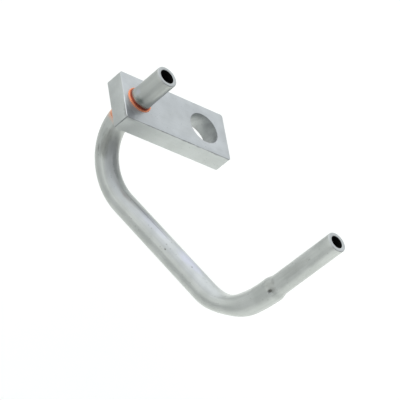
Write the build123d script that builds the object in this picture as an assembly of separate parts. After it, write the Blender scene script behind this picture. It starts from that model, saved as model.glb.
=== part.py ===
from build123d import *

import os
from math import cos, pi, radians, sin

# Sizes in millimetres and degrees. The origin is on the axis of the inlet spigot, in the plane of
# the plate's seating face; +Z is the way the spigot points and +X runs along the plate.

# Mounting plate, cut from flat bar
plate_width = 19.2
plate_thickness = 6.6
plate_corner_radius = 0.9
plate_edge_break = 0.25
end_to_tube = 6.8
tube_to_bolt = 28.2
bolt_to_end = 10.0
bolt_hole_diameter = 11.8
bolt_hole_chamfer = 0.3

# Oil tube, bent in one plane so that the nozzle ends up parallel to the spigot
tube_diameter = 8.0
tube_bore = 5.3
spigot_diameter = 7.9
spigot_reach = 13.9
spigot_taper = 0.6
spigot_edge_break = 0.35
straight_behind_plate = 0.5
bend_heading = -65.0
bend_radius = 18.5
first_bend_angle = 107.5
run_length = 42.4
second_bend_angle = 62.5
easing_radius = 55.0
bend_flattening = 0.19
bend_spreading = 0.06

# Nozzle, the end of the tube swaged down to a smaller diameter
swell_diameter = 8.25
shoulder_length = 3.4
shoulder_lead = 0.3
shoulder_round = 2.0
nozzle_diameter = 7.0
nozzle_bore = 4.4
nozzle_length = 25.6
nozzle_edge_break = 0.3
swage_mark_heading = -135.0
swage_mark_diameter = 2.0
swage_mark_depth = 0.45
swage_mark_from_shoulder = 1.1

# Copper brazing between the tube and the plate
brazing_gap = 0.05
pocket_depth = 0.7
front_fillet_height = 1.8
rear_fillet_spread = 1.9
rear_fillet_height = 3.4

# Sections cut through the oval bend
bend_sections = 5

# Sizes that follow from the ones above
plate_length = end_to_tube + tube_to_bolt + bolt_to_end
tube_radius = tube_diameter / 2
tube_hole_radius = tube_radius + brazing_gap
pocket_radius = tube_hole_radius + pocket_depth
easing_angle = 180.0 - first_bend_angle - second_bend_angle
spigot_straight = spigot_reach + plate_thickness + straight_behind_plate


def ahead(frame, distance):
    """The frame moved along its own travel direction."""
    return Plane(frame.origin + frame.z_dir * distance, x_dir=frame.x_dir, z_dir=frame.z_dir)


def turned(frame, radius, angle):
    """The frame carried round a bend of the given radius, towards its own x direction."""
    swing = radians(angle)
    centre = frame.origin + frame.x_dir * radius
    x_dir = frame.x_dir * cos(swing) - frame.z_dir * sin(swing)
    z_dir = frame.z_dir * cos(swing) + frame.x_dir * sin(swing)
    return Plane(centre - x_dir * radius, x_dir=x_dir, z_dir=z_dir)


# Frames along the tube's centre line; z is the way the oil flows, x the way the tube bends
heading = Vector(cos(radians(bend_heading)), sin(radians(bend_heading)), 0)
inlet = Plane((0, 0, spigot_reach), x_dir=heading, z_dir=(0, 0, -1))
first_bend = ahead(inlet, spigot_straight)
run = turned(first_bend, bend_radius, first_bend_angle)
second_bend = ahead(run, run_length)
easing = turned(second_bend, bend_radius, second_bend_angle)
shoulder = turned(easing, easing_radius, easing_angle)
nozzle = ahead(shoulder, shoulder_length)


def straight(frame, radius, length):
    """A round bar that starts at the frame."""
    return extrude(frame * Circle(radius), amount=length)


def taper(frame, start_radius, end_radius, length):
    """A round bar that starts at the frame and changes its radius evenly."""
    return frame * Cone(start_radius, end_radius, length, align=(Align.CENTER, Align.CENTER, Align.MIN))


def round_bend(frame, swing_radius, angle, radius):
    """A round bar that starts at the frame and turns towards its x direction."""
    axis = Axis(frame.origin + frame.x_dir * swing_radius, frame.y_dir)
    return revolve(frame * Circle(radius), axis=axis, revolution_arc=angle)


def oval_section(travel):
    """The tube's section in the second bend, flattest half way through it."""
    squash = sin(pi * travel) ** 2
    in_plane = tube_radius * (1 - bend_flattening * squash)
    across = tube_radius * (1 + bend_spreading * squash)
    return Ellipse(in_plane, across)


def oval_bend():
    """The second bend's outside, pressed to an oval."""
    steps = [i / (bend_sections - 1) for i in range(bend_sections)]
    frames = [turned(second_bend, bend_radius, second_bend_angle * t) for t in steps]
    sections = [frame * oval_section(t) for frame, t in zip(frames, steps)]
    middle = turned(second_bend, bend_radius, second_bend_angle / 2)
    path = ThreePointArc(second_bend.origin, middle.origin, easing.origin)
    return sweep(sections=sections, path=path, multisection=True)


def easing_bend():
    """The gentle end of the second bend, where the tube swells towards the shoulder."""
    steps = [0.0, 0.5, 1.0]
    frames = [turned(easing, easing_radius, easing_angle * t) for t in steps]
    swell = swell_diameter / 2 - tube_radius
    sections = [frame * Circle(tube_radius + swell * t * t) for frame, t in zip(frames, steps)]
    path = ThreePointArc(frames[0].origin, frames[1].origin, frames[2].origin)
    return sweep(sections=sections, path=path, multisection=True)


def swaged_shoulder():
    """The step down to the nozzle: a cone with a rounded crest and a rounded foot."""
    wide = swell_diameter / 2
    narrow = nozzle_diameter / 2
    crest = (wide, shoulder_lead)
    foot = (narrow, shoulder_length - shoulder_lead)
    end = (narrow, shoulder_length)
    slope = FilletPolyline((wide, 0), crest, foot, end, radius=shoulder_round)
    half = make_face([slope, Polyline(end, (0, shoulder_length), (0, 0), (wide, 0))])
    side = Plane(shoulder.origin, x_dir=shoulder.x_dir, z_dir=-shoulder.y_dir)
    return revolve(side * half, axis=Axis(shoulder.origin, shoulder.z_dir))


def swage_mark():
    """The small dent that the swaging die left at the foot of the shoulder."""
    edge_radius = swage_mark_diameter / 2
    ball_radius = (edge_radius**2 + swage_mark_depth**2) / (2 * swage_mark_depth)
    reach = swell_diameter / 2 + ball_radius - swage_mark_depth
    outward = Vector(cos(radians(swage_mark_heading)), sin(radians(swage_mark_heading)), 0)
    centre = shoulder.origin + shoulder.z_dir * swage_mark_from_shoulder + outward * reach
    return Location(centre) * Sphere(ball_radius)


def spigot_end():
    """The end sized for the oil gallery, with a short taper that meets the tube above the copper."""
    spigot_radius = spigot_diameter / 2
    length = spigot_reach - front_fillet_height - spigot_taper
    spigot = straight(inlet, spigot_radius, length)
    spigot = chamfer(spigot.faces().sort_by(Axis.Z)[-1].edges(), spigot_edge_break)
    return spigot + taper(ahead(inlet, length), spigot_radius, tube_radius, spigot_taper)


def tube_envelope():
    """The tube's outside without its bore."""
    spigot_length = spigot_reach - front_fillet_height
    body_start = ahead(inlet, spigot_length)
    tip = straight(nozzle, nozzle_diameter / 2, nozzle_length)
    tip = chamfer(tip.faces().sort_by(Axis.Z)[-1].edges(), nozzle_edge_break)
    pieces = [
        spigot_end(),
        straight(body_start, tube_radius, spigot_straight - spigot_length),
        round_bend(first_bend, bend_radius, first_bend_angle, tube_radius),
        straight(run, tube_radius, run_length),
        oval_bend(),
        easing_bend(),
        swaged_shoulder(),
        tip,
    ]
    return Part() + pieces


def tube_passage():
    """The space inside the tube, from the spigot's mouth to the nozzle's."""
    bore_radius = tube_bore / 2
    pieces = [
        straight(inlet, bore_radius, spigot_straight),
        round_bend(first_bend, bend_radius, first_bend_angle, bore_radius),
        straight(run, bore_radius, run_length),
        round_bend(second_bend, bend_radius, second_bend_angle, bore_radius),
        round_bend(easing, easing_radius, easing_angle, bore_radius),
        taper(shoulder, bore_radius, nozzle_bore / 2, shoulder_length),
        straight(nozzle, nozzle_bore / 2, nozzle_length),
    ]
    return Part() + pieces


def oil_tube(envelope):
    """The bent tube: spigot, two bends, swaged shoulder and nozzle in one piece."""
    return envelope - tube_passage() - swage_mark()


def countersink(x, hole_radius, depth):
    """A 45 degree countersink for the front mouth of a hole through the plate."""
    cone = Cone(hole_radius, hole_radius + depth, depth, align=(Align.CENTER, Align.CENTER, Align.MAX))
    return Pos(x, 0, 0) * cone


def mounting_plate():
    """The flat bar, with a pocketed hole for the tube and a clear hole for the bolt."""
    centre_x = plate_length / 2 - end_to_tube
    bolt_hole_radius = bolt_hole_diameter / 2
    outline = Pos(centre_x, 0) * RectangleRounded(plate_length, plate_width, plate_corner_radius)
    bar = extrude(outline, amount=-plate_thickness)
    rims = bar.faces().sort_by(Axis.Z)
    bar = chamfer(rims[0].edges() + rims[-1].edges(), plate_edge_break)
    bar -= extrude(Circle(tube_hole_radius), amount=-plate_thickness)
    bar -= countersink(0, tube_hole_radius, pocket_depth)
    bar -= extrude(Pos(tube_to_bolt, 0) * Circle(bolt_hole_radius), amount=-plate_thickness)
    front_mouth = countersink(tube_to_bolt, bolt_hole_radius, bolt_hole_chamfer)
    bar -= front_mouth
    bar -= mirror(front_mouth, about=Plane.XY.offset(-plate_thickness / 2))
    return bar


def braze_joint(envelope):
    """The copper: a fillet at each end of the tube's hole, joined by the film that fills the gap."""
    core_radius = tube_radius / 2
    back = -plate_thickness
    rear_tip = back - rear_fillet_height
    outline = Polyline(
        (tube_radius, front_fillet_height),
        (pocket_radius, 0),
        (tube_hole_radius, -pocket_depth),
        (tube_hole_radius, back),
        (tube_radius + rear_fillet_spread, back),
        (tube_radius, rear_tip),
        (core_radius, rear_tip),
        (core_radius, back),
        (tube_radius, back),
        close=True,
    )
    return revolve(Plane.XZ * make_face(outline), axis=Axis.Z) - envelope


def build():
    """Every piece by its node name."""
    envelope = tube_envelope()
    return {
        "mounting_plate": mounting_plate(),
        "oil_tube": oil_tube(envelope),
        "braze_joint": braze_joint(envelope),
    }


os.makedirs("parts", exist_ok=True)
for node, shape in build().items():
    export_step(shape, f"parts/{node}.step")
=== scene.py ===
"""A piston cooling nozzle: a bent steel oil tube, brazed with copper into a flat bar.

The classes hold their sizes in millimetres, as on a drawing, and their meshes are made in metres.
The origin is on the spigot's axis in the plane of the seating face, and +Z is the way it points.
In the finishes a scale counts a pattern's features to the metre, a strength is a share from 0 to 1,
and a ramp is the pair of values between which a pattern fades in.
"""

from __future__ import annotations

import logging
import math
from dataclasses import dataclass, field
from enum import Enum
from itertools import accumulate
from typing import Callable, Sequence

import bmesh
import bpy
from mathutils import Matrix, Vector


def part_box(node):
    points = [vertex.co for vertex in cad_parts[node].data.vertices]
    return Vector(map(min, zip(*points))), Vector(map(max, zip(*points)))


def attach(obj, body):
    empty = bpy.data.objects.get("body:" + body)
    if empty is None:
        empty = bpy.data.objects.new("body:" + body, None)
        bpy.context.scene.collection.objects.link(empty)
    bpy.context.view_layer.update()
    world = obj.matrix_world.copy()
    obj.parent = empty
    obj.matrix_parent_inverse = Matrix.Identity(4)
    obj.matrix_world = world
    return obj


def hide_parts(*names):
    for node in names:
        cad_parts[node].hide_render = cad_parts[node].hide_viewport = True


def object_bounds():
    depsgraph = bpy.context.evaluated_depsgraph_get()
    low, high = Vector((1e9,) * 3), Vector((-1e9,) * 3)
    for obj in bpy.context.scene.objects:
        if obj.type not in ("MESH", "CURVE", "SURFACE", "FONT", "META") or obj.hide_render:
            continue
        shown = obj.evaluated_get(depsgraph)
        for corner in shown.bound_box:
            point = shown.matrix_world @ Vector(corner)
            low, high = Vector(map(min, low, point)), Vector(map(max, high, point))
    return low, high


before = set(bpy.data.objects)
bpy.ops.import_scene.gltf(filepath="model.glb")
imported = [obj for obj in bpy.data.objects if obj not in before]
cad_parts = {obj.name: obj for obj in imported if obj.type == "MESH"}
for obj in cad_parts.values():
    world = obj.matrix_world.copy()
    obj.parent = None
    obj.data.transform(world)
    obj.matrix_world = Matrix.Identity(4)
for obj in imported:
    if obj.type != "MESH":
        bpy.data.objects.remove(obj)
CAD_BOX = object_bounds()

LOG = logging.getLogger("nozzle")
MM = 0.001
BODY = "root"
BORE_DEPTH = "bore_depth"
PHOTO_SIDE = 400.0
WHITE = (1.0, 1.0, 1.0)

# The Mix node's sockets when it mixes colours
MIX_COLOURS = (6, 7)
MIX_RESULT = 2


class Slot(Enum):
    """The record's material slots."""

    PLATE = "plate_steel"
    TUBE = "tube_steel"
    COPPER = "braze_copper"


class Coordinates(Enum):
    """What a finish's patterns are read from."""

    OBJECT = "object"
    UNBENT = "unbent"


Colour = tuple[float, float, float]
Point = tuple[float, float, float]
Ramp = tuple[float, float]


def rgba(colour: Colour) -> tuple[float, float, float, float]:
    """The colour with full alpha."""
    return (*colour, 1.0)


def metres(place: Point) -> list[float]:
    """A place or a size in millimetres, turned into metres."""
    return [value * MM for value in place]


def kept_share(share: float) -> float:
    """The share, kept from 0 to 1."""
    return min(max(share, 0.0), 1.0)


def smooth_step(low: float, high: float, value: float) -> float:
    """A smooth ramp.

    Args:
        low: Where the ramp is 0.
        high: Where the ramp is 1.
        value: Where it is read.

    Returns:
        The ramp's height, from 0 to 1.
    """
    share = kept_share((value - low) / (high - low))
    return share * share * (3.0 - 2.0 * share)


def bump(distance: float, reach: float) -> float:
    """A bell of height 1 that has died away at the given reach."""
    share = min(abs(distance) / reach, 1.0)
    return (1.0 - share * share) ** 2


class Graph:
    """A short way to write a shader node tree."""

    def __init__(self, tree: bpy.types.NodeTree) -> None:
        """Start on an empty tree."""
        self.tree = tree
        self.tree.nodes.clear()

    def node(self, kind: str, **settings: object) -> bpy.types.Node:
        """Add a node.

        Args:
            kind: The node's type name without its prefix.
            settings: Properties to set on it.

        Returns:
            The new node.
        """
        made = self.tree.nodes.new(f"ShaderNode{kind}")
        for name, value in settings.items():
            setattr(made, name, value)
        return made

    def feed(self, socket: bpy.types.NodeSocket, value: object) -> None:
        """Link a socket to another, or set its value.

        Args:
            socket: The input.
            value: The socket that feeds it, or its value.
        """
        if isinstance(value, bpy.types.NodeSocket):
            self.tree.links.new(value, socket)
        else:
            socket.default_value = value

    def math(self, operation: str, *values: object) -> bpy.types.NodeSocket:
        """The result of a Math node.

        Args:
            operation: The node's operation.
            values: Numbers or sockets, in order.

        Returns:
            The output socket.
        """
        made = self.node("Math", operation=operation)
        for socket, value in zip(made.inputs, values):
            self.feed(socket, value)
        return made.outputs[0]

    def vector(self, operation: str, *values: object) -> bpy.types.Node:
        """A Vector Math node.

        Args:
            operation: The node's operation.
            values: Vectors or sockets, in order.

        Returns:
            The node.
        """
        made = self.node("VectorMath", operation=operation)
        for socket, value in zip(made.inputs, values):
            self.feed(socket, value)
        return made

    def parts(self, vector: object) -> bpy.types.bpy_prop_collection:
        """Split a vector.

        Args:
            vector: The vector.

        Returns:
            The sockets X, Y and Z.
        """
        made = self.node("SeparateXYZ")
        self.feed(made.inputs[0], vector)
        return made.outputs

    def ramp(self, value: object, low: object, high: object) -> bpy.types.NodeSocket:
        """A smooth ramp.

        Args:
            value: What is read.
            low: Where the ramp is 0.
            high: Where the ramp is 1.

        Returns:
            The ramp's socket.
        """
        made = self.node("MapRange", interpolation_type="SMOOTHSTEP")
        self.feed(made.inputs["Value"], value)
        self.feed(made.inputs["From Min"], low)
        self.feed(made.inputs["From Max"], high)
        return made.outputs["Result"]

    def noise(
        self, vector: object, scale: object, detail: float = 3.0, rough: float = 0.5
    ) -> bpy.types.NodeSocket:
        """The value of a noise texture.

        Args:
            vector: Where it is read.
            scale: Features to the unit.
            detail: Octaves.
            rough: How much the finer octaves count.

        Returns:
            The value socket, near 0.5 on average.
        """
        made = self.node("TexNoise")
        self.feed(made.inputs["Vector"], vector)
        self.feed(made.inputs["Scale"], scale)
        made.inputs["Detail"].default_value = detail
        made.inputs["Roughness"].default_value = rough
        return made.outputs["Fac"]

    def stretched(self, vector: object, scale: Point) -> bpy.types.NodeSocket:
        """A vector with each part scaled by its own factor.

        Args:
            vector: The vector.
            scale: The factors.

        Returns:
            The scaled vector's socket.
        """
        made = self.node("Mapping")
        self.feed(made.inputs["Vector"], vector)
        made.inputs["Scale"].default_value = scale
        return made.outputs["Vector"]

    def mixed(self, share: object, first: object, second: object) -> bpy.types.NodeSocket:
        """Two colours mixed.

        Args:
            share: How much of the second there is, from 0 to 1.
            first: A colour or a socket.
            second: A colour or a socket.

        Returns:
            The mixed colour's socket.
        """
        made = self.node("Mix", data_type="RGBA")
        self.feed(made.inputs["Factor"], share)
        for place, value in zip(MIX_COLOURS, (first, second)):
            self.feed(made.inputs[place], rgba(value) if isinstance(value, tuple) else value)
        return made.outputs[MIX_RESULT]

    def laid(self, under: object, over: object, mask: object, strength: object) -> bpy.types.NodeSocket:
        """One colour laid over another.

        Args:
            under: The colour below.
            over: The colour on top.
            mask: Where it lies.
            strength: How much it covers there, from 0 to 1.

        Returns:
            The colour of both.
        """
        return self.mixed(self.math("MULTIPLY", mask, strength), under, over)

    def group(self, tree: bpy.types.NodeTree, **values: object) -> bpy.types.Node:
        """Place a node group.

        Args:
            tree: The group.
            values: Its inputs by name, with _ for a space.

        Returns:
            The group's node.
        """
        made = self.node("Group", node_tree=tree)
        for name, value in values.items():
            self.feed(made.inputs[name.replace("_", " ")], value)
        return made

    def mask(self, plan: GroupPlan, place: object, **values: object) -> bpy.types.NodeSocket:
        """A mask made by a shared group.

        Args:
            plan: The group's plan.
            place: The coordinates that it reads.
            values: Its other inputs by name, with _ for a space.

        Returns:
            The group's only output.
        """
        return self.group(plan.build(), Vector=place, **values).outputs[0]


@dataclass
class GroupPlan:
    """The sockets of a shader group, and the function that fills it."""

    name: str
    inputs: Sequence[tuple[str, str, float]]
    outputs: Sequence[str]
    fill: Callable[[Graph, bpy.types.Node, bpy.types.Node], None]

    def build(self) -> bpy.types.NodeTree:
        """Make the group once, and find it again each later time.

        Returns:
            The group.
        """
        if self.name in bpy.data.node_groups:
            return bpy.data.node_groups[self.name]
        tree = bpy.data.node_groups.new(self.name, "ShaderNodeTree")
        for name, kind, value in self.inputs:
            made = tree.interface.new_socket(name, in_out="INPUT", socket_type=f"NodeSocket{kind}")
            if kind == "Float":
                made.default_value = value
        for name in self.outputs:
            tree.interface.new_socket(name, in_out="OUTPUT", socket_type="NodeSocketFloat")
        graph = Graph(tree)
        self.fill(graph, tree.nodes.new("NodeGroupInput"), tree.nodes.new("NodeGroupOutput"))
        return tree


def fill_grain(graph: Graph, given: bpy.types.Node, result: bpy.types.Node) -> None:
    """The grain of furnace-dulled steel: soft clouds, fine grit and scattered dark specks.

    Args:
        graph: The group's tree.
        given: Its input node.
        result: Its output node.
    """
    cloud_grains, cell_grains, wander_scale, wander_reach = 14.0, 1.6, 1.3, 0.9
    speck_edge, speck_core, share_without = 0.34, 0.08, 0.80
    vector, size = given.outputs["Vector"], given.outputs["Grain Size"]
    grit_scale = graph.math("DIVIDE", 1.0, size)
    grit = graph.noise(vector, grit_scale, 4.0, 0.6)
    clouds = graph.noise(vector, graph.math("DIVIDE", grit_scale, cloud_grains), 2.0, 0.5)
    wander = graph.node("TexNoise")
    graph.feed(wander.inputs["Vector"], vector)
    graph.feed(wander.inputs["Scale"], graph.math("MULTIPLY", grit_scale, wander_scale))
    spread = graph.node("CombineXYZ")
    reach = graph.math("MULTIPLY", size, wander_reach)
    for socket in spread.inputs:
        graph.feed(socket, reach)
    shifted = graph.vector("MULTIPLY_ADD", wander.outputs["Color"], spread.outputs[0], vector)
    cells = graph.node("TexVoronoi", feature="F1")
    graph.feed(cells.inputs["Vector"], shifted.outputs[0])
    graph.feed(cells.inputs["Scale"], graph.math("DIVIDE", grit_scale, cell_grains))
    near = graph.ramp(cells.outputs["Distance"], speck_edge, speck_core)
    chosen = graph.node("SeparateColor")
    graph.feed(chosen.inputs["Color"], cells.outputs["Color"])
    picked = graph.ramp(chosen.outputs["Red"], share_without, 1.0)
    graph.feed(result.inputs["Grit"], grit)
    graph.feed(result.inputs["Clouds"], clouds)
    graph.feed(result.inputs["Specks"], graph.math("MULTIPLY", near, picked))


def fill_draw_lines(graph: Graph, given: bpy.types.Node, result: bpy.types.Node) -> None:
    """Lines that a drawing die leaves along a tube, read in the tube's unbent place.

    Args:
        graph: The group's tree.
        given: Its input node.
        result: Its output node.
    """
    fine_stretch, broad_stretch, fine_share = (1.0, 1.0, 0.02), (0.5, 0.5, 0.04), 0.6
    vector, density = given.outputs["Vector"], given.outputs["Density"]
    fine = graph.noise(graph.stretched(vector, fine_stretch), density, 3.0, 0.6)
    broad = graph.noise(graph.stretched(vector, broad_stretch), density, 2.0, 0.5)
    faint = graph.math("MULTIPLY", broad, 1.0 - fine_share)
    graph.feed(result.inputs["Lines"], graph.math("MULTIPLY_ADD", fine, fine_share, faint))


def fill_edge_rub(graph: Graph, given: bpy.types.Node, result: bpy.types.Node) -> None:
    """How near a point on a block is to the block's edges, broken up by grit.

    Args:
        graph: The group's tree.
        given: Its input node.
        result: Its output node.
    """
    grit_scale, widening, full_at = 1400.0, 1.6, 0.35
    vector, width = given.outputs["Vector"], given.outputs["Width"]
    offset = graph.vector("SUBTRACT", vector, given.outputs["Centre"])
    spread = graph.vector("ABSOLUTE", offset.outputs[0])
    depth = graph.vector("SUBTRACT", given.outputs["Half Size"], spread.outputs[0])
    x, y, z = graph.parts(depth.outputs[0])
    low = graph.math("MINIMUM", x, y)
    high = graph.math("MAXIMUM", x, y)
    second = graph.math("MAXIMUM", low, graph.math("MINIMUM", high, z))
    broken = graph.math("MULTIPLY_ADD", graph.noise(vector, grit_scale, 3.0), width, second)
    share = graph.math("DIVIDE", broken, graph.math("MULTIPLY", width, widening))
    graph.feed(result.inputs["Rub"], graph.ramp(share, 1.0, full_at))


def fill_ring(graph: Graph, given: bpy.types.Node, result: bpy.types.Node) -> None:
    """A soft disc round an upright axis, fading between two radii, with a ragged edge.

    Args:
        graph: The group's tree.
        given: Its input node.
        result: Its output node.
    """
    upright, edge_scale = (1.0, 1.0, 0.0), 900.0
    offset = graph.vector("SUBTRACT", given.outputs["Vector"], given.outputs["Centre"])
    length = graph.vector("LENGTH", graph.stretched(offset.outputs[0], upright))
    ragged = graph.math("SUBTRACT", graph.noise(given.outputs["Vector"], edge_scale, 2.0), 0.5)
    radius = graph.math("MULTIPLY_ADD", ragged, given.outputs["Raggedness"], length.outputs["Value"])
    graph.feed(result.inputs["Mask"], graph.ramp(radius, given.outputs["Outer"], given.outputs["Inner"]))


def fill_edge_line(graph: Graph, given: bpy.types.Node, result: bpy.types.Node) -> None:
    """A thin ragged line that follows one edge of a block.

    Args:
        graph: The group's tree.
        given: Its input node.
        result: Its output node.
    """
    ragged_scale, ragged_swing, ragged_least = 1100.0, 1.3, 0.2
    break_scale, break_swing, break_drop, break_least = 130.0, 2.2, -0.35, 0.25
    full_at = 0.4
    vector = given.outputs["Vector"]
    offset = graph.vector("SUBTRACT", vector, given.outputs["Corner"])
    across = graph.vector("MULTIPLY", offset.outputs[0], given.outputs["Across"])
    length = graph.vector("LENGTH", across.outputs[0])
    ragged = graph.math("MULTIPLY_ADD", graph.noise(vector, ragged_scale, 3.0), ragged_swing, ragged_least)
    breaks = graph.math("MULTIPLY_ADD", graph.noise(vector, break_scale, 2.0), break_swing, break_drop)
    ragged = graph.math("MULTIPLY", ragged, graph.math("MAXIMUM", breaks, break_least))
    reach = graph.math("MULTIPLY", given.outputs["Width"], ragged)
    share = graph.math("DIVIDE", length.outputs["Value"], reach)
    graph.feed(result.inputs["Mask"], graph.ramp(share, 1.0, full_at))


def fill_scuff_and_shade(graph: Graph, given: bpy.types.Node, result: bpy.types.Node) -> None:
    """A soft patch with a ragged outline, longer one way than the other, laid for real marks and for painted
    shade and highlights.

    Args:
        graph: The group's tree.
        given: Its input node.
        result: Its output node.
    """
    ragged_scale, ragged_swing, full_at = 2.5, 1.1, 0.25
    offset = graph.vector("SUBTRACT", given.outputs["Vector"], given.outputs["Centre"])
    shares = graph.vector("DIVIDE", offset.outputs[0], given.outputs["Half Size"])
    length = graph.vector("LENGTH", shares.outputs[0])
    ragged = graph.math("SUBTRACT", graph.noise(shares.outputs[0], ragged_scale, 4.0, 0.6), 0.5)
    reach = graph.math("MULTIPLY_ADD", ragged, ragged_swing, length.outputs["Value"])
    graph.feed(result.inputs["Mask"], graph.ramp(reach, 1.0, full_at))


VECTOR = ("Vector", "Vector", 0.0)
EDGE_LINE = GroupPlan(
    "edge line",
    (VECTOR, ("Corner", "Vector", 0.0), ("Across", "Vector", 0.0), ("Width", "Float", 0.0003)),
    ("Mask",),
    fill_edge_line,
)
SCUFF_AND_SHADE = GroupPlan(
    "scuff and shade",
    (VECTOR, ("Centre", "Vector", 0.0), ("Half Size", "Vector", 0.0)),
    ("Mask",),
    fill_scuff_and_shade,
)
GRAIN = GroupPlan(
    "steel grain",
    (VECTOR, ("Grain Size", "Float", 0.0004)),
    ("Grit", "Clouds", "Specks"),
    fill_grain,
)
DRAW_LINES = GroupPlan("draw lines", (VECTOR, ("Density", "Float", 900.0)), ("Lines",), fill_draw_lines)
EDGE_RUB = GroupPlan(
    "edge rub",
    (VECTOR, ("Centre", "Vector", 0.0), ("Half Size", "Vector", 0.0), ("Width", "Float", 0.0005)),
    ("Rub",),
    fill_edge_rub,
)
RING = GroupPlan(
    "ring stain and shade",
    (
        VECTOR,
        ("Centre", "Vector", 0.0),
        ("Inner", "Float", 0.004),
        ("Outer", "Float", 0.005),
        ("Raggedness", "Float", 0.0005),
    ),
    ("Mask",),
    fill_ring,
)


def new_material(name: str, metallic: float) -> tuple[bpy.types.Material, Graph, bpy.types.Node]:
    """A new material that shows one Principled shader.

    Args:
        name: The material's name.
        metallic: The shader's Metallic.

    Returns:
        The material, its graph and the shader's node.
    """
    material = bpy.data.materials.new(name)
    material.use_nodes = True
    graph = Graph(material.node_tree)
    shader = graph.node("BsdfPrincipled")
    shader.inputs["Metallic"].default_value = metallic
    graph.feed(graph.node("OutputMaterial").inputs["Surface"], shader.outputs[0])
    return material, graph, shader


@dataclass(frozen=True)
class SteelFinish:
    """Plain steel, dulled in the brazing furnace."""

    name: str
    light: Colour
    dark: Colour
    speck: Colour
    copper_stain: Colour
    grain_size: float
    roughness: float
    metallic: float
    coordinates: Coordinates
    cloud_ramp: Ramp = (0.30, 0.70)

    def start(self) -> tuple[bpy.types.Material, Graph, bpy.types.Node, bpy.types.NodeSocket]:
        """A new material with its shader, and the coordinates that its patterns read.

        Returns:
            The material, its graph, its Principled node and the coordinate socket.
        """
        material, graph, shader = new_material(self.name, self.metallic)
        if self.coordinates is Coordinates.OBJECT:
            place = graph.node("TexCoord").outputs["Object"]
        else:
            place = graph.node("Attribute", attribute_name=Coordinates.UNBENT.value).outputs["Vector"]
        return material, graph, shader, place

    def ground(
        self, graph: Graph, place: bpy.types.NodeSocket
    ) -> tuple[bpy.types.NodeSocket, bpy.types.Node]:
        """The steel's own colour.

        Args:
            graph: The material's graph.
            place: The coordinates that it reads.

        Returns:
            The colour socket, and the grain node for roughness and bump.
        """
        grain = graph.group(GRAIN.build(), Vector=place, Grain_Size=self.grain_size)
        cloud = graph.ramp(grain.outputs["Clouds"], *self.cloud_ramp)
        both = graph.math("ADD", grain.outputs["Grit"], cloud)
        colour = graph.mixed(graph.math("MULTIPLY", both, 0.5), self.dark, self.light)
        return graph.mixed(grain.outputs["Specks"], colour, self.speck), grain


def bumped(graph: Graph, shader: bpy.types.Node, height: bpy.types.NodeSocket, distance: float) -> None:
    """Join a height to the shader's normal.

    Args:
        graph: The material's graph.
        shader: Its Principled node.
        height: The height, from 0 to 1.
        distance: What a height of 1 stands for, in metres.
    """
    made = graph.node("Bump")
    made.inputs["Strength"].default_value = 1.0
    made.inputs["Distance"].default_value = distance
    graph.feed(made.inputs["Height"], height)
    graph.feed(shader.inputs["Normal"], made.outputs["Normal"])


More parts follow.
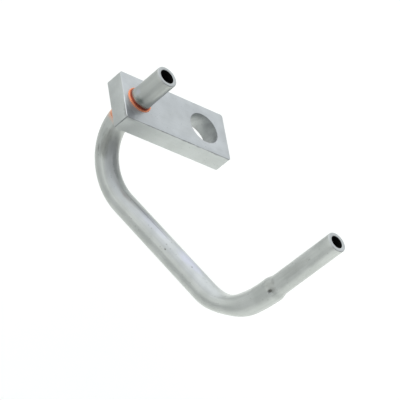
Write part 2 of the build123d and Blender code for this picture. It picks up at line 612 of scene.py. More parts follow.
@dataclass(frozen=True)
class PlateFinish(SteelFinish):
    """The bar's steel: rolled lines, worn lighter edges, dark lines along two lower edges, a painted
    highlight on its left front edge, nicks, painted shade in the bolt hole and by the tube, and a copper
    blush.
    """

    centre: Point = (0.0, 0.0, 0.0)
    half_size: Point = (0.0, 0.0, 0.0)
    rolled_stretch: Point = (0.04, 1.0, 1.0)
    rolled_scale: float = 1300.0
    rolled_ramp: Ramp = (0.40, 0.75)
    rolled_strength: float = 0.30
    edge: Colour = (0.66, 0.69, 0.68)
    edge_width: float = 0.35
    edge_strength: float = 0.25
    corner_inset: float = 0.26
    # Painted highlight along the lower half of the bar's left front edge
    edge_highlight: Colour = (0.86, 0.88, 0.88)
    edge_highlight_width: float = 0.40
    edge_highlight_strength: float = 0.9
    edge_highlight_below: float = -2.0
    # Dark lines along the lower front edge and the lower left corner edge
    dark_edge: Colour = (0.17, 0.18, 0.18)
    dark_edge_width: float = 0.34
    dark_edge_strength: float = 0.85
    blush_inner: float = 4.6
    blush_outer: float = 5.3
    blush_ragged: float = 1.2
    blush_strength: float = 0.25
    # Painted shade on the bolt hole's wall: its centre, the radii it fades between, its raggedness and its
    # patches
    bolt_hole: Point = (28.2, 0.0, 0.0)
    bolt_wall: float = 5.9
    bolt_rim: float = 6.25
    bolt_ragged: float = 0.25
    patch_scale: float = 420.0
    patch_swing: float = 0.8
    patch_drop: float = -0.12
    # Painted shade colour, laid on the bolt hole's wall and on the corner by the tube; the nicks are laid in
    # the same colour
    shade: Colour = (0.22, 0.225, 0.235)
    shade_place: Point = (-5.6, -7.4, 0.0)
    shade_size: Point = (4.6, 4.6, 2.0)
    shade_strength: float = 0.68
    nicks: tuple[Point, ...] = ((17.4, -9.6, -0.2), (23.9, -9.55, -0.2), (31.8, -9.6, -0.25))
    nick_size: Point = (1.3, 0.35, 0.4)
    nick_strength: float = 0.55
    grit_rough: float = 0.16
    rub_rough: float = -0.08
    speck_depth: float = -0.9
    rolled_depth: float = 0.6
    relief: float = 0.012

    def edge_line(
        self, graph: Graph, place: bpy.types.NodeSocket, sides: Point, width: float
    ) -> bpy.types.NodeSocket:
        """A line along one edge.

        Args:
            graph: The material's graph.
            place: The coordinates that it reads.
            sides: For each axis the side that the edge is on, or 0 for the axis it runs along.
            width: The line's width in millimetres.

        Returns:
            The line's mask.
        """
        inset = self.corner_inset if sides[2] == 0 else 0.0
        corner = [c + side * (h - inset) for c, side, h in zip(self.centre, sides, self.half_size)]
        across = [abs(side) for side in sides]
        return graph.mask(EDGE_LINE, place, Corner=metres(corner), Across=across, Width=width * MM)

    def marked_and_shaded(
        self, graph: Graph, place: bpy.types.NodeSocket, colour: bpy.types.NodeSocket
    ) -> bpy.types.NodeSocket:
        """The colour with painted shade on the bolt hole's wall and on the corner by the tube, and the
        nicks.

        Args:
            graph: The material's graph.
            place: The coordinates that it reads.
            colour: The steel's colour.

        Returns:
            The new colour.
        """
        # Painted shade on the bolt hole's wall, laid in patches
        wall = graph.mask(
            RING,
            place,
            Centre=metres(self.bolt_hole),
            Inner=self.bolt_wall * MM,
            Outer=self.bolt_rim * MM,
            Raggedness=self.bolt_ragged * MM,
        )
        patches = graph.noise(place, self.patch_scale, 3.0)
        patchy_bolt_shade = graph.math("MULTIPLY_ADD", patches, self.patch_swing, self.patch_drop)
        colour = graph.laid(colour, self.shade, wall, patchy_bolt_shade)
        # Painted shade and reflection of the spigot on the corner by the tube, then the nicks
        marks = [(self.shade_place, self.shade_size, self.shade_strength)]
        marks += [(nick, self.nick_size, self.nick_strength) for nick in self.nicks]
        for spot, size, strength in marks:
            mark = graph.mask(SCUFF_AND_SHADE, place, Centre=metres(spot), Half_Size=metres(size))
            colour = graph.laid(colour, self.shade, mark, strength)
        return colour

    def material(self) -> bpy.types.Material:
        """Mix the bar's material.

        Returns:
            The finished material.
        """
        material, graph, shader, place = self.start()
        colour, grain = self.ground(graph, place)
        rolled = graph.noise(graph.stretched(place, self.rolled_stretch), self.rolled_scale, 3.0, 0.6)
        lines = graph.ramp(rolled, *self.rolled_ramp)
        colour = graph.laid(colour, self.dark, lines, self.rolled_strength)
        centre, half_size = metres(self.centre), metres(self.half_size)
        rub = graph.mask(EDGE_RUB, place, Centre=centre, Half_Size=half_size, Width=self.edge_width * MM)
        colour = graph.laid(colour, self.edge, rub, self.edge_strength)
        colour = self.marked_and_shaded(graph, place, colour)
        # Painted highlight along the lower half of the left front edge
        lower_half = graph.ramp(graph.parts(place)["Y"], 0.0, self.edge_highlight_below * MM)
        corner = self.edge_line(graph, place, (-1, 0, 1), self.edge_highlight_width)
        corner = graph.math("MULTIPLY", corner, lower_half)
        colour = graph.laid(colour, self.edge_highlight, corner, self.edge_highlight_strength)
        # Dark lines along the lower front edge and the lower left corner edge
        for sides in ((0, -1, 1), (-1, -1, 0)):
            line = self.edge_line(graph, place, sides, self.dark_edge_width)
            colour = graph.laid(colour, self.dark_edge, line, self.dark_edge_strength)
        inner, outer, ragged = self.blush_inner * MM, self.blush_outer * MM, self.blush_ragged * MM
        blush = graph.mask(RING, place, Inner=inner, Outer=outer, Raggedness=ragged)
        colour = graph.laid(colour, self.copper_stain, blush, self.blush_strength)
        graph.feed(shader.inputs["Base Color"], colour)
        rough = graph.math("MULTIPLY_ADD", grain.outputs["Grit"], self.grit_rough, self.roughness)
        graph.feed(shader.inputs["Roughness"], graph.math("MULTIPLY_ADD", rub, self.rub_rough, rough))
        pits = graph.math("MULTIPLY_ADD", grain.outputs["Specks"], self.speck_depth, grain.outputs["Grit"])
        height = graph.math("MULTIPLY_ADD", rolled, self.rolled_depth, pits)
        bumped(graph, shader, height, self.relief * MM)
        return material


@dataclass(frozen=True)
class ScuffAndShade:
    """A patch on the tube, placed by its distance from the spigot's mouth and its angle round the tube: some
    are real marks, others painted shade and painted highlights.
    """

    along: float
    angle: float
    half_length: float
    half_width: float
    strength: float
    radius: float = 4.0
    colour: Colour = (0.09, 0.09, 0.08)

    def mask(self, graph: Graph, place: bpy.types.NodeSocket) -> bpy.types.NodeSocket:
        """Where the mark lies.

        Args:
            graph: The material's graph.
            place: The tube's unbent place.

        Returns:
            The mark's mask.
        """
        turn = math.radians(self.angle)
        centre = (self.radius * math.cos(turn), self.radius * math.sin(turn), self.along)
        size = (self.half_width, self.half_width, self.half_length)
        return graph.mask(SCUFF_AND_SHADE, place, Centre=metres(centre), Half_Size=metres(size))


@dataclass(frozen=True)
class TubeFinish(SteelFinish):
    """The drawn tube's steel, with lines along it, marks, painted shade and highlights, painted shade on the
    spigot and near black in the bore, and copper near the joint.
    """

    line_density: float = 1500.0
    line_ramp: Ramp = (0.38, 0.66)
    line_strength: float = 0.45
    # Painted near-black shade inside the bore, with lighter flecks
    bore_shade: Colour = (0.010, 0.010, 0.009)
    bore_shade_from: float = 0.02
    bore_shade_to: float = 0.25
    bore_fleck: Colour = (0.06, 0.06, 0.055)
    bore_fleck_ramp: Ramp = (0.55, 0.75)
    wash_full: float = 23.2
    wash_end: float = 25.6
    wash_scale: float = 700.0
    wash_ragged: float = 2.4
    wash_strength: float = 0.85
    bar_front: float = 16.0
    bar_inside: float = 18.0
    # Painted shade darkening the spigot above the bar
    spigot_shade_end: float = 14.0
    spigot_shade: float = 0.65
    grit_rough: float = 0.14
    bore_rough: float = 0.25
    line_depth: float = 0.8
    relief: float = 0.010
    marks: tuple[ScuffAndShade, ...] = ()

    def washed(
        self, graph: Graph, place: bpy.types.NodeSocket, colour: bpy.types.NodeSocket
    ) -> bpy.types.NodeSocket:
        """The colour with the copper's wash behind the bar, and painted shade that darkens the spigot.

        Args:
            graph: The material's graph.
            place: The coordinates that it reads.
            colour: The steel's colour.

        Returns:
            The new colour.
        """
        along = graph.parts(place)["Z"]
        ragged = graph.math("SUBTRACT", graph.noise(place, self.wash_scale, 3.0), 0.5)
        reach = graph.math("MULTIPLY_ADD", ragged, self.wash_ragged * MM, along)
        wash = graph.ramp(reach, self.wash_end * MM, self.wash_full * MM)
        behind = graph.ramp(along, self.bar_front * MM, self.bar_inside * MM)
        wash = graph.math("MULTIPLY", wash, behind)
        colour = graph.laid(colour, self.copper_stain, wash, self.wash_strength)
        # Painted shade darkening the spigot above the bar
        spigot = graph.ramp(along, self.bar_inside * MM, self.spigot_shade_end * MM)
        return graph.laid(colour, self.dark, spigot, self.spigot_shade)

    def material(self) -> bpy.types.Material:
        """Mix the tube's material.

        Returns:
            The finished material.
        """
        material, graph, shader, place = self.start()
        colour, grain = self.ground(graph, place)
        lines = graph.mask(DRAW_LINES, place, Density=self.line_density)
        streaks = graph.ramp(lines, *self.line_ramp)
        colour = graph.laid(colour, self.dark, streaks, self.line_strength)
        colour = self.washed(graph, place, colour)
        # Real marks, painted shade and painted highlights on the tube
        for mark in self.marks:
            colour = graph.laid(colour, mark.colour, mark.mask(graph, place), mark.strength)
        # Painted shade inside the bore, deepening past its edge
        depth = graph.node("Attribute", attribute_name=BORE_DEPTH).outputs["Fac"]
        inside = graph.ramp(depth, self.bore_shade_from, self.bore_shade_to)
        grit = grain.outputs["Grit"]
        bore_flecks = graph.mixed(graph.ramp(grit, *self.bore_fleck_ramp), self.bore_shade, self.bore_fleck)
        graph.feed(shader.inputs["Base Color"], graph.mixed(inside, colour, bore_flecks))
        rough = graph.math("MULTIPLY_ADD", grit, self.grit_rough, self.roughness)
        graph.feed(shader.inputs["Roughness"], graph.math("MULTIPLY_ADD", inside, self.bore_rough, rough))
        height = graph.math("MULTIPLY_ADD", lines, self.line_depth, grit)
        bumped(graph, shader, height, self.relief * MM)
        return material


@dataclass(frozen=True)
class CopperFinish:
    """Copper that has flowed and set: bright at its bead, brown above it as painted shade in the hollow
    beside the tube, thin over the steel on top.
    """

    name: str = "flowed copper"
    bright: Colour = (0.84, 0.34, 0.185)
    brown: Colour = (0.28, 0.06, 0.035)
    steel: Colour = (0.34, 0.31, 0.27)
    bright_to: float = 0.25
    brown_from: float = 0.36
    brown_to: float = 0.95
    steel_from: float = 1.30
    patch_scale: float = 450.0
    patch_lift: float = 0.8
    mottle_scale: float = 2200.0
    mottle_rough: float = 0.2
    dull_ramp: Ramp = (0.45, 0.75)
    dull_strength: float = 0.35
    roughness: float = 0.17
    metallic: float = 0.9
    relief: float = 0.02

    def material(self) -> bpy.types.Material:
        """Mix the copper's material.

        Returns:
            The finished material.
        """
        material, graph, shader = new_material(self.name, self.metallic)
        place = graph.node("TexCoord").outputs["Object"]
        height = graph.parts(place)["Z"]
        mottle = graph.noise(place, self.mottle_scale, 3.0, 0.6)
        patches = graph.math("SUBTRACT", graph.noise(place, self.patch_scale, 2.0), 0.5)
        patchy_height = graph.math("MULTIPLY_ADD", patches, self.patch_lift * MM, height)
        # Painted shade: the copper turns brown above the bead, in the hollow beside the tube
        above_bead = graph.ramp(height, self.bright_to * MM, self.brown_from * MM)
        colour = graph.mixed(above_bead, self.bright, self.brown)
        thin = graph.ramp(patchy_height, self.brown_to * MM, self.steel_from * MM)
        colour = graph.mixed(thin, colour, self.steel)
        dull = graph.ramp(mottle, *self.dull_ramp)
        graph.feed(shader.inputs["Base Color"], graph.laid(colour, self.brown, dull, self.dull_strength))
        rough = graph.math("MULTIPLY_ADD", mottle, self.mottle_rough, self.roughness)
        graph.feed(shader.inputs["Roughness"], rough)
        bumped(graph, shader, mottle, self.relief * MM)
        return material


def finished(
    name: str, shape: bmesh.types.BMesh, material: bpy.types.Material, node: str
) -> bpy.types.Object:
    """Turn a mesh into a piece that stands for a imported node.

    Args:
        name: The piece's name.
        shape: The finished bmesh, which is freed.
        material: What it is made of.
        node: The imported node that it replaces.

    Returns:
        The new object.
    """
    bmesh.ops.recalc_face_normals(shape, faces=shape.faces)
    for face in shape.faces:
        face.smooth = True
    mesh = bpy.data.meshes.new(name)
    shape.to_mesh(mesh)
    shape.free()
    mesh.materials.append(material)
    piece = bpy.data.objects.new(name, mesh)
    bpy.context.scene.collection.objects.link(piece)
    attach(piece, BODY)
    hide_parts(node)
    LOG.info("%s: %d faces", name, len(mesh.polygons))
    return piece


@dataclass
class MountingPlate:
    """The flat bar that bolts to the crankcase."""

    corner_radius: float = 0.9
    edge_break: float = 0.25
    tube_hole_radius: float = 4.05
    pocket_depth: float = 0.7
    bolt_hole_radius: float = 5.9
    tube_to_bolt: float = 28.2
    corner_steps: int = 5
    edge_steps: int = 3
    hole_segments: int = 96
    sharp_from: float = 40.0
    crease_from: float = 35.0
    low: Vector = field(default_factory=lambda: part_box("mounting_plate")[0] / MM)
    high: Vector = field(default_factory=lambda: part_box("mounting_plate")[1] / MM)

    def outline(self, mesh: bmesh.types.BMesh) -> None:
        """Draw the bar's outline with rounded corners, in the plane of the seating face.

        Args:
            mesh: The empty bmesh that takes it.
        """
        centre = (self.low + self.high) / 2
        spread = Matrix.Diagonal((*(self.high - self.low).xy, 1.0, 1.0))
        place = Matrix.Translation((centre.x, centre.y, self.high.z)) @ spread
        bmesh.ops.create_grid(mesh, x_segments=1, y_segments=1, size=0.5, matrix=Matrix.Scale(MM, 4) @ place)
        bmesh.ops.bevel(
            mesh,
            geom=mesh.verts[:],
            affect="VERTICES",
            offset=self.corner_radius * MM,
            segments=self.corner_steps,
            profile=0.5,
            material=-1,
        )
        bmesh.ops.delete(mesh, geom=mesh.faces[:], context="FACES_ONLY")

    def hole(self, mesh: bmesh.types.BMesh, x: float, radius: float) -> None:
        """Draw a hole's outline in the plane of the seating face.

        Args:
            mesh: The bmesh that takes it.
            x: Where the hole lies along the bar.
            radius: The hole's radius.
        """
        place = Matrix.Translation((x * MM, 0.0, self.high.z * MM))
        size, count = radius * MM, self.hole_segments
        bmesh.ops.create_circle(mesh, cap_ends=False, radius=size, segments=count, matrix=place)

    def break_edges(self, mesh: bmesh.types.BMesh) -> None:
        """Round the rims of the bar and its bolt hole, and countersink the tube's hole in front.

        Args:
            mesh: The bar with sharp edges.
        """
        sharp = [e for e in mesh.edges if e.calc_face_angle(0.0) > math.radians(self.sharp_from)]
        margin = 0.1
        near_tube = (self.tube_hole_radius + margin) * MM
        middle = (self.low.z + self.high.z) / 2 * MM
        at_tube = [e for e in sharp if all(v.co.xy.length < near_tube for v in e.verts)]
        rims = [e for e in sharp if e not in at_tube]
        pocket = [e for e in at_tube if all(v.co.z > middle for v in e.verts)]
        settings = {"affect": "EDGES", "profile": 0.5, "material": -1, "clamp_overlap": True}
        bmesh.ops.bevel(mesh, geom=pocket, offset=self.pocket_depth * MM, segments=1, **settings)
        rims = [e for e in rims if e.is_valid]
        bmesh.ops.bevel(mesh, geom=rims, offset=self.edge_break * MM, segments=self.edge_steps, **settings)

    def build(self, finish: PlateFinish) -> bpy.types.Object:
        """Make the bar.

        Args:
            finish: Its steel.

        Returns:
            The piece.
        """
        mesh = bmesh.new()
        self.outline(mesh)
        self.hole(mesh, 0.0, self.tube_hole_radius)
        self.hole(mesh, self.tube_to_bolt, self.bolt_hole_radius)
        bmesh.ops.triangle_fill(
            mesh, use_beauty=True, use_dissolve=False, edges=mesh.edges[:], normal=(0.0, 0.0, 1.0)
        )
        front = mesh.faces[:]
        grown = bmesh.ops.extrude_face_region(mesh, geom=front, use_keep_orig=True)["geom"]
        back = [item for item in grown if isinstance(item, bmesh.types.BMVert)]
        bmesh.ops.translate(mesh, verts=back, vec=(0.0, 0.0, (self.low.z - self.high.z) * MM))
        bmesh.ops.recalc_face_normals(mesh, faces=mesh.faces[:])
        self.break_edges(mesh)
        piece = finished("mounting_plate_bar", mesh, finish.material(), "mounting_plate")
        piece.data.set_sharp_from_angle(angle=math.radians(self.crease_from))
        return piece


@dataclass(frozen=True)
class Station:
    """One ring round the tube's centre line: how far along it lies, and its two half widths."""

    along: float
    in_plane: float
    across: float
    in_bore: bool = False


@dataclass
class OilTube:
    """The bent tube: spigot, first bend, run, second bend, shoulder and nozzle."""

    spigot_reach: float = 13.9
    spigot_radius: float = 3.95
    spigot_end: float = 2.4
    tube_start: float = 1.8
    tube_radius: float = 4.0
    bore_radius: float = 2.65
    first_bend_depth: float = 7.1
    heading: float = -65.0
    bend_radius: float = 18.5
    first_angle: float = 107.5
    run_length: float = 42.4
    second_angle: float = 62.5
    easing_radius: float = 55.0
    flattening: float = 0.19
    spreading: float = 0.06
    swell_radius: float = 4.125
    shoulder_length: float = 3.4
    nozzle_radius: float = 3.5
    nozzle_bore_radius: float = 2.2
    nozzle_length: float = 25.6
    spigot_edge: float = 0.35
    nozzle_edge: float = 0.3
    inner_edge: float = 0.15
    mark_heading: float = -135.0
    mark_radius: float = 1.15
    mark_depth: float = 0.45
    mark_from_shoulder: float = 1.1
    segments: int = 80
    ring_step: float = 0.9
    fine_share: float = 0.25
    fine_before: float = 4.0
    fine_after: float = 1.0
    bore_share: float = 1.5
    mouth_steps: int = 4

    def __post_init__(self) -> None:
        """Work out where each stretch of the centre line starts."""
        easing_angle = 180.0 - self.first_angle - self.second_angle
        self.stretches = (
            (self.spigot_reach + self.first_bend_depth, 0.0),
            (self.bend_radius * math.radians(self.first_angle), self.bend_radius),
            (self.run_length, 0.0),
            (self.bend_radius * math.radians(self.second_angle), self.bend_radius),
            (self.easing_radius * math.radians(easing_angle), self.easing_radius),
            (self.shoulder_length, 0.0),
            (self.nozzle_length, 0.0),
        )
        ends = list(accumulate(length for length, _ in self.stretches))
        self.second_bend, self.easing, self.shoulder, self.nozzle, self.end = ends[2:]

    def frame_at(self, along: float) -> Matrix:
        """The frame on the centre line.

        Args:
            along: The distance from the spigot's mouth, in millimetres.

        Returns:
            A matrix whose z is the way the oil flows and whose x points into the bends.
        """
        turn = math.radians(self.heading)
        x_dir = Vector((math.cos(turn), math.sin(turn), 0.0))
        z_dir = Vector((0.0, 0.0, -1.0))
        columns = (x_dir, z_dir.cross(x_dir), z_dir, Vector((0.0, 0.0, self.spigot_reach)))
        here = Matrix([[column[row] for column in columns] for row in range(3)] + [(0.0, 0.0, 0.0, 1.0)])
        left = along
        for length, radius in self.stretches:
            step = min(max(left, 0.0), length)
            if radius:
                hub = Matrix.Translation((radius, 0.0, 0.0))
                here = here @ hub @ Matrix.Rotation(step / radius, 4, "Y") @ hub.inverted()
            else:
                here = here @ Matrix.Translation((0.0, 0.0, step))
            left -= length
        return here

    def outside(self, along: float) -> Station:
        """The tube's outside at one place, before its mouths are rounded.

        Args:
            along: The distance from the spigot's mouth.

        Returns:
            The station there.
        """
        height = self.spigot_reach - along
        taper = smooth_step(self.spigot_end, self.tube_start, height)
        radius = self.spigot_radius + (self.tube_radius - self.spigot_radius) * taper
        share = kept_share((along - self.easing) / (self.shoulder - self.easing))
        radius += (self.swell_radius - self.tube_radius) * share * share
        drop = smooth_step(self.shoulder, self.nozzle, along)
        radius += (self.nozzle_radius - radius) * drop
        share = kept_share((along - self.second_bend) / (self.easing - self.second_bend))
        squash = math.sin(math.pi * share) ** 2
        in_plane = radius * (1 - self.flattening * squash)
        return Station(along, in_plane, radius * (1 + self.spreading * squash))

    def inside(self, along: float) -> Station:
        """The bore at one place.

        Args:
            along: The distance from the spigot's mouth.

        Returns:
            The station there.
        """
        share = kept_share((along - self.shoulder) / self.shoulder_length)
        radius = self.bore_radius + (self.nozzle_bore_radius - self.bore_radius) * share
        return Station(along, radius, radius, True)

    def mouth(self, wall: Station, rounding: float, outward: float, step_in: float) -> list[Station]:
        """The rings that round an edge of a mouth.

        Args:
            wall: The wall's own station at the mouth.
            rounding: The edge's radius.
            outward: +1 where the tube ends ahead of the wall, -1 where it starts there.
            step_in: +1 for an outer edge, which rounds inwards, -1 for the bore's edge.

        Returns:
            Stations from the wall to the end face.
        """
        rings = []
        for step in range(self.mouth_steps + 1):
            angle = math.radians(90.0) * step / self.mouth_steps
            back = rounding * (1.0 - math.sin(angle))
            inset = rounding * (1.0 - math.cos(angle)) * step_in
            along = wall.along - outward * back
            rings.append(Station(along, wall.in_plane - inset, wall.across - inset, wall.in_bore))
        return rings

    def between(
        self, start: float, stop: float, wall: Callable[[float], Station], step: float
    ) -> list[Station]:
        """Evenly spaced stations on a wall.

        Args:
            start: Where the stretch starts.
            stop: Where it ends.
            wall: The tube's outside or its bore.
            step: About how far apart they are.

        Returns:
            The stations, with both ends left out.
        """
        count = max(int(abs(stop - start) / step), 2)
        return [wall(start + (stop - start) * i / count) for i in range(1, count)]

    def stations(self) -> list[Station]:
        """Set out every ring.

        Returns:
            The rings, from the spigot's mouth along the outside and back through the bore.
        """
        outer_in = self.mouth(self.outside(0.0), self.spigot_edge, -1.0, 1.0)
        outer_out = self.mouth(self.outside(self.end), self.nozzle_edge, 1.0, 1.0)
        inner_out = self.mouth(self.inside(self.end), self.inner_edge, 1.0, -1.0)
        inner_in = self.mouth(self.inside(0.0), self.inner_edge, -1.0, -1.0)
        fine_start, fine_end = self.shoulder - self.fine_before, self.nozzle + self.fine_after
        fine_step, bore_step = self.ring_step * self.fine_share, self.ring_step * self.bore_share
        rings = outer_in[::-1]
        rings += self.between(self.spigot_edge, fine_start, self.outside, self.ring_step)
        rings += self.between(fine_start, fine_end, self.outside, fine_step)
        rings += self.between(fine_end, self.end - self.nozzle_edge, self.outside, self.ring_step)
        rings += outer_out
        rings += inner_out[::-1]
        rings += self.between(self.end - self.inner_edge, self.inner_edge, self.inside, bore_step)
        return rings + inner_in

    def ring_matrix(self, station: Station) -> Matrix:
        """What carries a unit circle to a station's ring, in metres."""
        spread = Matrix.Diagonal((station.in_plane, station.across, 1.0, 1.0))
        return Matrix.Scale(MM, 4) @ self.frame_at(station.along) @ spread

    def shell(
        self, mesh: bmesh.types.BMesh, rings: Sequence[Station], segments: int
    ) -> list[list[bmesh.types.BMVert]]:
        """Grow a closed shell from ring to ring, and join its last ring to its first.

        Args:
            mesh: The bmesh that takes it.
            rings: The shell's rings in order.
            segments: The sides of each ring.

        Returns:
            Each ring's points.
        """
        before = set(mesh.edges)
        last = self.ring_matrix(rings[0])
        made = bmesh.ops.create_circle(mesh, cap_ends=False, radius=1.0, segments=segments, matrix=last)
        edges = [edge for edge in mesh.edges if edge not in before]
        first_edges, loops = edges, [made["verts"]]
        for station in rings[1:]:
            grown = bmesh.ops.extrude_edge_only(mesh, edges=edges)["geom"]
            loops.append([item for item in grown if isinstance(item, bmesh.types.BMVert)])
            edges = [item for item in grown if isinstance(item, bmesh.types.BMEdge) and item.is_boundary]
            here = self.ring_matrix(station)
            bmesh.ops.transform(mesh, matrix=here @ last.inverted(), verts=loops[-1])
            last = here
        bmesh.ops.bridge_loops(mesh, edges=first_edges + edges)
        return loops

    def press_mark(self, mesh: bmesh.types.BMesh) -> None:
        """Press the swaging die's mark into the shoulder.

        Args:
            mesh: The tube.
        """
        here = self.frame_at(self.shoulder + self.mark_from_shoulder)
        turn = math.radians(self.mark_heading)
        outward = Vector((math.cos(turn), math.sin(turn), 0.0))
        centre = (here.translation + outward * self.swell_radius) * MM
        for vert in mesh.verts:
            distance = (vert.co - centre).length
            if distance < self.mark_radius * MM:
                vert.co -= outward * self.mark_depth * MM * bump(distance, self.mark_radius * MM)

    def build(self, finish: TubeFinish) -> bpy.types.Object:
        """Make the tube.

        Args:
            finish: Its steel.

        Returns:
            The piece. Its attribute "unbent" is each point's place on the straight tube in metres,
            and "bore_depth" how deep it lies in the bore in millimetres.
        """
        mesh = bmesh.new()
        layer = mesh.verts.layers.float_vector.new(Coordinates.UNBENT.value)
        bore_layer = mesh.verts.layers.float.new(BORE_DEPTH)
        rings = self.stations()
        for station, verts in zip(rings, self.shell(mesh, rings, self.segments)):
            back = self.ring_matrix(station).inverted()
            depth = min(station.along, self.end - station.along) if station.in_bore else 0.0
            for vert in verts:
                flat = back @ vert.co
                vert[layer] = metres((flat.x * station.in_plane, flat.y * station.across, station.along))
                vert[bore_layer] = depth
        self.press_mark(mesh)
        return finished("oil_tube_bent", mesh, finish.material(), "oil_tube")


@dataclass
class BrazeJoint:
    """The copper round the tube: a beaded fillet in front of the bar and a hollow one behind it."""

    tube: OilTube
    front_height: float = 1.8
    foot_radius: float = 4.75
    bead_radius: float = 0.24
    bead_stretch: float = 1.1
    bead_turn: float = 150.0
    bead_steps: int = 6
    neck: float = 0.18
    slope_steps: int = 8
    slope_spread: float = 1.7
    slope_fall: float = 1.6
    foot_sink: float = 0.02
    film_depth: float = 0.6
    film_radius: float = 4.1
    hidden_radius: float = 3.97
    # Each wave's height, its count round the tube and its start
    ripple_waves: tuple[tuple[float, float, float], ...] = ((0.05, 2.0, 0.6), (0.035, 5.0, 2.0))
    ripple_from: float = 0.3
    rear_spread: float = 1.9
    rear_height: float = 3.4
    rear_curve: float = 2.2
    rear_steps: int = 12
    rear_hidden_radius: float = 3.9
    segments: int = 96

    def ripple(self, angle: float) -> float:
        """How high the copper stands at an angle round the tube, as a factor of about 1."""
        waves = (height * math.sin(count * angle + start) for height, count, start in self.ripple_waves)
        return 1.0 + sum(waves)

    def front_profile(self) -> list[tuple[float, float]]:
        """Draw the front fillet's section.

        Returns:
            Radius and height of each point, from the tube down to the bead and under it.
        """
        wall = self.tube.tube_radius
        centre = self.foot_radius - self.bead_radius
        points = []
        for step in range(self.slope_steps + 1):
            share = step / self.slope_steps
            radius = wall + (centre - self.neck - wall) * share**self.slope_spread
            height = self.front_height * (1 - share) ** self.slope_fall + self.neck * share
            points.append((radius, height))
        for step in range(self.bead_steps + 1):
            angle = math.radians(self.bead_turn - self.bead_turn * step / self.bead_steps)
            height = self.bead_radius * math.sin(angle) * self.bead_stretch
            points.append((centre + self.bead_radius * math.cos(angle), height))
        points.append((self.foot_radius, -self.foot_sink))
        return points + [(self.film_radius, -self.film_depth), (self.hidden_radius, -self.film_depth)]

    def front(self) -> bmesh.types.BMesh:
        """Spin the front section round the spigot's axis.

        Returns:
            A bmesh that holds the front fillet.
        """
        mesh = bmesh.new()
        points = [mesh.verts.new((radius * MM, 0.0, height * MM)) for radius, height in self.front_profile()]
        edges = [mesh.edges.new(pair) for pair in zip(points, points[1:] + points[:1])]
        bmesh.ops.spin(
            mesh,
            geom=points + edges,
            cent=(0.0, 0.0, 0.0),
            axis=(0.0, 0.0, 1.0),
            angle=math.tau,
            steps=self.segments,
            use_merge=True,
            use_duplicate=False,
        )
        bmesh.ops.remove_doubles(mesh, verts=mesh.verts[:], dist=1e-7)
        for vert in mesh.verts:
            if vert.co.z > self.ripple_from * MM:
                most = self.front_height * MM / vert.co.z
                vert.co.z *= min(self.ripple(math.atan2(vert.co.y, vert.co.x)), most)
        return mesh

    def rear(self, mesh: bmesh.types.BMesh) -> None:
        """Add the rear fillet, which follows the tube into its bend.

        Args:
            mesh: The bmesh that takes it.
        """
        foot = self.tube.spigot_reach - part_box("mounting_plate")[0].z / MM
        rings = [Station(foot + self.rear_height, self.rear_hidden_radius, self.rear_hidden_radius)]
        for step in range(self.rear_steps + 1):
            share = 1.0 - step / self.rear_steps
            radius = self.tube.tube_radius + self.rear_spread * (1.0 - share) ** self.rear_curve
            rings.append(Station(foot + self.rear_height * share, radius, radius))
        rings.append(Station(foot, self.rear_hidden_radius, self.rear_hidden_radius))
        self.tube.shell(mesh, rings, self.segments)

    def build(self, finish: CopperFinish) -> bpy.types.Object:
        """Make both fillets as one piece.

        Args:
            finish: The copper.

        Returns:
            The piece.
        """
        mesh = self.front()
        self.rear(mesh)
        return finished("braze_copper_ring", mesh, finish.material(), "braze_joint")


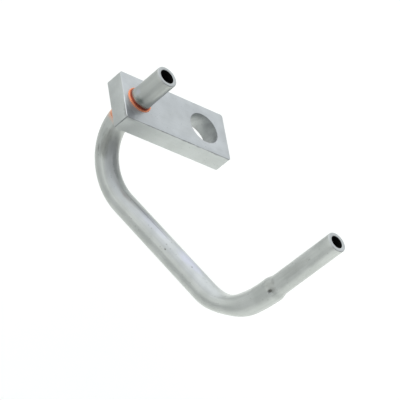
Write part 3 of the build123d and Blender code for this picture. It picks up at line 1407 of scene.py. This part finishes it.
@dataclass
class Studio:
    """The white tent and floor, one lamp and the camera. Glows and the tent are strengths of light."""

    camera_place: Point = (-418.76, -461.92, 405.09)
    camera_back: Point = (-0.59698, -0.5832, 0.5509)
    camera_right: Point = (0.7431, -0.14316, 0.65369)
    focal_pixels: float = 2288.81
    sensor: float = 36.0
    half_pixel: float = 0.5
    floor_drop: float = 60.0
    floor_side: float = 6000.0
    floor_colour: Colour = (0.735, 0.74, 0.70)
    floor_glow_seen: float = 0.37
    floor_glow_valley: float = 0.03
    floor_glow_away: float = 0.80
    valley_x: float = -105.0
    valley_core: float = 15.0
    valley_rim: float = 205.0
    bright_way: Point = (-0.366, 0.785, 0.5)
    bright_starts: float = -0.7
    tent_least: float = 0.28
    tent_full: float = 1.32
    overhead_loss: float = 0.4
    overhead_from: float = 0.80
    top_tint: Colour = (0.975, 1.0, 1.06)
    side_tint: Colour = (0.985, 1.0, 0.945)
    tint_from: float = -0.1
    tint_to: float = 0.5
    lamp_side: float = 900.0
    lamp_distance: float = 1000.0
    lamp_azimuth: float = 105.0
    lamp_height: float = 42.0
    lamp_watts: float = 0.9

    def camera(self) -> None:
        """Stand the camera where the photograph was taken from."""
        data = bpy.data.cameras.new("camera")
        data.sensor_width = self.sensor
        data.lens = self.focal_pixels / PHOTO_SIDE * self.sensor
        data.shift_x = -self.half_pixel / PHOTO_SIDE
        data.shift_y = self.half_pixel / PHOTO_SIDE
        data.clip_end = 100.0
        camera = bpy.data.objects.new("camera", data)
        bpy.context.scene.collection.objects.link(camera)
        back = Vector(self.camera_back).normalized()
        right = Vector(self.camera_right)
        right = (right - back * right.dot(back)).normalized()
        up = back.cross(right)
        turn = Matrix((right, up, back)).transposed()
        camera.matrix_world = Matrix.Translation(Vector(self.camera_place) * MM) @ turn.to_4x4()
        bpy.context.scene.camera = camera

    def lamp(self) -> None:
        """Hang one square soft lamp behind the object, pointed at it."""
        data = bpy.data.lights.new("back_lamp", "AREA")
        data.size = self.lamp_side * MM
        data.energy = self.lamp_watts
        lamp = bpy.data.objects.new("back_lamp", data)
        bpy.context.scene.collection.objects.link(lamp)
        low, high = CAD_BOX
        turn, up = math.radians(self.lamp_azimuth), math.radians(self.lamp_height)
        way = Vector((math.cos(turn) * math.cos(up), math.sin(turn) * math.cos(up), math.sin(up)))
        lamp.location = (low + high) / 2 + way * self.lamp_distance * MM
        lamp.rotation_euler = (-way).to_track_quat("-Z", "Y").to_euler()

    def plainly_seen(self, graph: Graph) -> bpy.types.NodeSocket:
        """1 for camera and transmission rays, and 0 for the rest."""
        path = graph.node("LightPath")
        return graph.math("MAXIMUM", path.outputs["Is Camera Ray"], path.outputs["Is Transmission Ray"])

    def world(self) -> None:
        """A white tent: brightest behind the object, dimmest to the right of the camera, cooler overhead."""
        world = bpy.data.worlds.new("tent")
        world.use_nodes = True
        bpy.context.scene.world = world
        graph = Graph(world.node_tree)
        background = graph.node("Background")
        direction = graph.node("TexCoord").outputs["Generated"]
        toward = graph.vector("DOT_PRODUCT", direction, self.bright_way).outputs["Value"]
        share = graph.ramp(toward, self.bright_starts, 1.0)
        tent = graph.math("MULTIPLY_ADD", share, self.tent_full - self.tent_least, self.tent_least)
        height = graph.parts(direction)["Z"]
        tint = graph.mixed(graph.ramp(height, self.tint_from, self.tint_to), self.side_tint, self.top_tint)
        overhead = graph.ramp(height, self.overhead_from, 1.0)
        left = graph.math("MULTIPLY_ADD", overhead, -self.overhead_loss, 1.0)
        tent = graph.math("MULTIPLY", tent, left)
        seen = self.plainly_seen(graph)
        graph.feed(background.inputs["Color"], graph.mixed(seen, tint, WHITE))
        short_of_white = graph.math("SUBTRACT", 1.0, tent)
        graph.feed(background.inputs["Strength"], graph.math("MULTIPLY_ADD", seen, short_of_white, tent))
        graph.feed(graph.node("OutputWorld").inputs["Surface"], background.outputs[0])

    def floor(self) -> None:
        """A plain white floor, whose reflection is dimmest along a band to the left of the camera."""
        mesh = bmesh.new()
        low = CAD_BOX[0].z - self.floor_drop * MM
        place = Matrix.Translation((0.0, 0.0, low))
        bmesh.ops.create_grid(mesh, x_segments=1, y_segments=1, size=self.floor_side * MM, matrix=place)
        data = bpy.data.meshes.new("floor")
        mesh.to_mesh(data)
        mesh.free()
        material, graph, shader = new_material("floor white", 0.0)
        shader.inputs["Base Color"].default_value = rgba(self.floor_colour)
        shader.inputs["Roughness"].default_value = 1.0
        shader.inputs["Specular IOR Level"].default_value = 0.0
        glossy = graph.node("LightPath").outputs["Is Glossy Ray"]
        x = graph.parts(graph.node("TexCoord").outputs["Object"])["X"]
        from_valley = graph.math("ABSOLUTE", graph.math("SUBTRACT", x, self.valley_x * MM))
        away = graph.ramp(from_valley, self.valley_core * MM, self.valley_rim * MM)
        reflected = graph.math("MULTIPLY_ADD", away, self.floor_glow_away, self.floor_glow_valley)
        seen = self.plainly_seen(graph)
        glow = graph.math("MULTIPLY", seen, self.floor_glow_seen)
        glow = graph.math("MULTIPLY_ADD", glossy, reflected, glow)
        graph.feed(shader.inputs["Emission Color"], graph.mixed(seen, self.side_tint, WHITE))
        graph.feed(shader.inputs["Emission Strength"], glow)
        data.materials.append(material)
        floor = bpy.data.objects.new("floor", data)
        bpy.context.scene.collection.objects.link(floor)

    def build(self) -> None:
        """Set up everything round the object."""
        self.camera()
        self.world()
        self.floor()
        self.lamp()
        bpy.context.scene.view_settings.view_transform = "Standard"


# Colours of the tube's patches: a lilac-blue tint, a painted highlight beside the swaging mark and painted
# shade at the spigot's foot
LILAC_TINT = (0.53, 0.545, 0.66)
DENT_HIGHLIGHT = (0.74, 0.76, 0.75)
SPIGOT_FOOT_SHADE = (0.10, 0.13, 0.11)
TUBE_MARKS = (
    # Lilac-blue tint along the run and on the spigot
    ScuffAndShade(along=88.5, angle=10.0, half_length=8.5, half_width=2.4, strength=0.50, colour=LILAC_TINT),
    ScuffAndShade(along=70.0, angle=20.0, half_length=11.0, half_width=2.0, strength=0.30, colour=LILAC_TINT),
    ScuffAndShade(along=10.2, angle=104.0, half_length=1.5, half_width=1.5, strength=0.35, colour=LILAC_TINT),
    # Painted shade at the spigot's foot, where it meets the bar
    ScuffAndShade(along=11.5, angle=66.0, half_length=1.5, half_width=2.3, strength=0.62, colour=SPIGOT_FOOT_SHADE),
    # Painted shade cast by the bar onto the first bend, in these two streaks
    ScuffAndShade(along=32.5, angle=67.0, half_length=8.5, half_width=2.2, strength=0.52),
    ScuffAndShade(along=42.0, angle=10.0, half_length=9.0, half_width=1.2, strength=0.35),
    ScuffAndShade(along=35.5, angle=98.0, half_length=1.8, half_width=0.5, strength=0.45),
    # Painted shade: a thin dark line along the run, from the bar above it
    ScuffAndShade(along=66.0, angle=15.0, half_length=17.0, half_width=0.45, strength=0.40),
    ScuffAndShade(along=80.1, angle=62.0, half_length=0.5, half_width=0.4, strength=0.75),
    ScuffAndShade(along=90.9, angle=25.0, half_length=0.45, half_width=0.35, strength=0.6),
    # Painted shade in the swaging mark, and its painted shadow beside it
    ScuffAndShade(along=129.0, angle=103.0, half_length=1.1, half_width=0.8, strength=0.85),
    ScuffAndShade(along=129.9, angle=108.0, half_length=1.9, half_width=1.3, strength=0.35),
    ScuffAndShade(along=130.0, angle=80.0, half_length=2.6, half_width=2.9, strength=0.34),
    # Painted highlights beside the swaging mark
    ScuffAndShade(along=131.1, angle=96.0, half_length=1.3, half_width=1.5, strength=0.12, colour=DENT_HIGHLIGHT),
    ScuffAndShade(along=131.5, angle=122.0, half_length=1.6, half_width=1.0, strength=0.30, colour=DENT_HIGHLIGHT),
    ScuffAndShade(along=141.0, angle=84.0, half_length=10.0, half_width=1.9, strength=0.20, radius=3.5),
)


def main() -> None:
    """Build the object's pieces in order, then the studio round them."""
    logging.basicConfig(level=logging.INFO, format="%(name)s: %(message)s")
    plate = MountingPlate()
    tube = OilTube()
    plate.build(
        PlateFinish(
            name="bar steel",
            light=(0.565, 0.59, 0.585),
            dark=(0.455, 0.478, 0.468),
            speck=(0.32, 0.34, 0.33),
            copper_stain=(0.72, 0.42, 0.33),
            grain_size=0.0004,
            roughness=0.31,
            metallic=0.65,
            coordinates=Coordinates.OBJECT,
            centre=tuple((plate.low + plate.high) / 2),
            half_size=tuple((plate.high - plate.low) / 2),
        )
    )
    tube.build(
        TubeFinish(
            name="tube steel",
            light=(0.595, 0.615, 0.60),
            dark=(0.425, 0.445, 0.43),
            speck=(0.27, 0.285, 0.27),
            copper_stain=(0.88, 0.44, 0.27),
            grain_size=0.0005,
            roughness=0.33,
            metallic=0.75,
            coordinates=Coordinates.UNBENT,
            marks=TUBE_MARKS,
        )
    )
    BrazeJoint(tube).build(CopperFinish())
    Studio().build()


if __name__ == "__main__":
    main()
